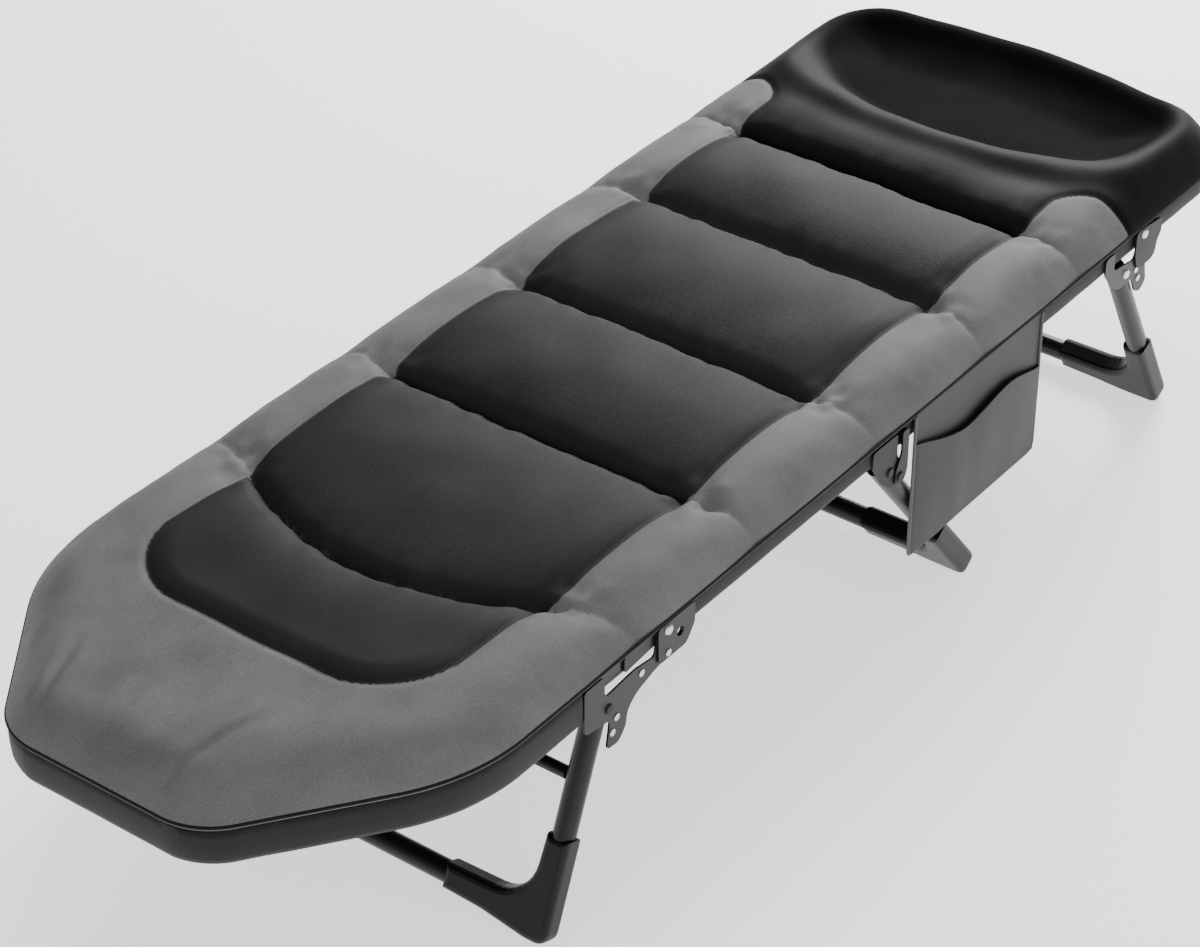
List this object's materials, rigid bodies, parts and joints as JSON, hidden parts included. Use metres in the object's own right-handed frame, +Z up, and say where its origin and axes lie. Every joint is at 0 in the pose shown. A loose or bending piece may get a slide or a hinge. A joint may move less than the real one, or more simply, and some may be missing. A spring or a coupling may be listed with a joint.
{
  "type": "folding cot",
  "caption": "Padded folding cot with folding leg frames, a fold-up foot section, a reclining head section and a side pocket.",
  "frame": {"origin": "centre of the cot's outline on the floor", "axes": "+X towards the head end, +Y to the left of someone looking from the foot end to the head end, +Z up"},
  "size_m": [1.9295, 0.6482, 0.378],
  "materials": {
    "frame_tube": "satin dark grey powder coat",
    "hinge_plate": "satin dark grey powder coat on flat steel",
    "nickel_rivet": "bright nickel",
    "black_plastic": "matt moulded",
    "sling_canvas": "plain woven polyester",
    "pad_cover": "brushed polyester, grey borders with dark panels",
    "pocket_cloth": "plain woven polyester"
  },
  "bodies": {
    "seat_section": {"seat_rail_left": "frame_tube", "seat_rail_right": "frame_tube", "seat_sling": "sling_canvas", "seat_pad": "pad_cover", "foot_hinge_plate_left": "hinge_plate", "foot_hinge_plate_right": "hinge_plate", "foot_hinge_pin_left": "nickel_rivet", "foot_hinge_pin_right": "nickel_rivet", "front_leg_bracket_left": "hinge_plate", "front_leg_bracket_right": "hinge_plate", "middle_leg_bracket_left": "hinge_plate", "middle_leg_bracket_right": "hinge_plate", "middle_hinge_pin_left": "nickel_rivet", "middle_hinge_pin_right": "nickel_rivet", "front_leg_pin_left": "nickel_rivet", "front_leg_pin_right": "nickel_rivet", "middle_leg_pin_left": "nickel_rivet", "middle_leg_pin_right": "nickel_rivet"},
    "foot_section": {"foot_rail": "frame_tube", "foot_sling": "sling_canvas", "foot_pad": "pad_cover", "foot_hinge_tongue_left": "hinge_plate", "foot_hinge_tongue_right": "hinge_plate"},
    "back_section": {"back_rail_left": "frame_tube", "back_rail_right": "frame_tube", "back_sling": "sling_canvas", "back_pad": "pad_cover", "side_pocket": "pocket_cloth", "middle_hinge_strap_left": "hinge_plate", "middle_hinge_strap_right": "hinge_plate", "rear_leg_bracket_left": "hinge_plate", "rear_leg_bracket_right": "hinge_plate", "head_hinge_pin_left": "nickel_rivet", "head_hinge_pin_right": "nickel_rivet", "rear_leg_pin_left": "nickel_rivet", "rear_leg_pin_right": "nickel_rivet"},
    "head_section": {"head_rail": "frame_tube", "head_sling": "sling_canvas", "head_pad": "pad_cover", "head_ratchet_left": "black_plastic", "head_ratchet_right": "black_plastic"},
    "front_leg": {"front_leg_tube_left": "frame_tube", "front_leg_tube_right": "frame_tube", "front_leg_foot_left": "black_plastic", "front_leg_foot_right": "black_plastic", "front_leg_crossbar": "frame_tube", "front_leg_upper_bar": "frame_tube"},
    "middle_leg": {"middle_leg_tube_left": "frame_tube", "middle_leg_tube_right": "frame_tube", "middle_leg_foot_left": "black_plastic", "middle_leg_foot_right": "black_plastic", "middle_leg_crossbar": "frame_tube"},
    "rear_leg": {"rear_leg_tube_left": "frame_tube", "rear_leg_tube_right": "frame_tube", "rear_leg_foot_left": "black_plastic", "rear_leg_foot_right": "black_plastic", "rear_leg_crossbar": "frame_tube"}
  },
  "joints": [
    {"name": "foot_fold", "type": "hinge", "parent": "seat_section", "child": "foot_section", "pos_m": [-0.381, 0, 0.317], "axis": [0, 1, 0], "range_deg": [0, 155], "deforming": ["foot_pad"]},
    {"name": "middle_fold", "type": "hinge", "parent": "seat_section", "child": "back_section", "pos_m": [0.096, 0, 0.257], "axis": [0, 1, 0], "range_deg": [0, 145], "deforming": ["seat_pad", "back_pad"]},
    {"name": "head_recline", "type": "hinge", "parent": "back_section", "child": "head_section", "pos_m": [0.676, 0, 0.317], "axis": [0, -1, 0], "range_deg": [0, 155], "deforming": ["head_pad"]},
    {"name": "front_leg_fold", "type": "hinge", "parent": "seat_section", "child": "front_leg", "pos_m": [-0.489, 0, 0.272], "axis": [0, -1, 0], "range_deg": [0, 109]},
    {"name": "middle_leg_fold", "type": "hinge", "parent": "seat_section", "child": "middle_leg", "pos_m": [0.077, 0, 0.272], "axis": [0, 1, 0], "range_deg": [0, 117]},
    {"name": "rear_leg_fold", "type": "hinge", "parent": "back_section", "child": "rear_leg", "pos_m": [0.64, 0, 0.272], "axis": [0, 1, 0], "range_deg": [0, 118]}
  ],
  "couplings": [
    {"joint": "front_leg_fold", "follows": "middle_fold", "ratio": 0.75171},
    {"joint": "middle_leg_fold", "follows": "middle_fold", "ratio": 0.80689},
    {"joint": "rear_leg_fold", "follows": "middle_fold", "ratio": 0.81378}
  ]
}
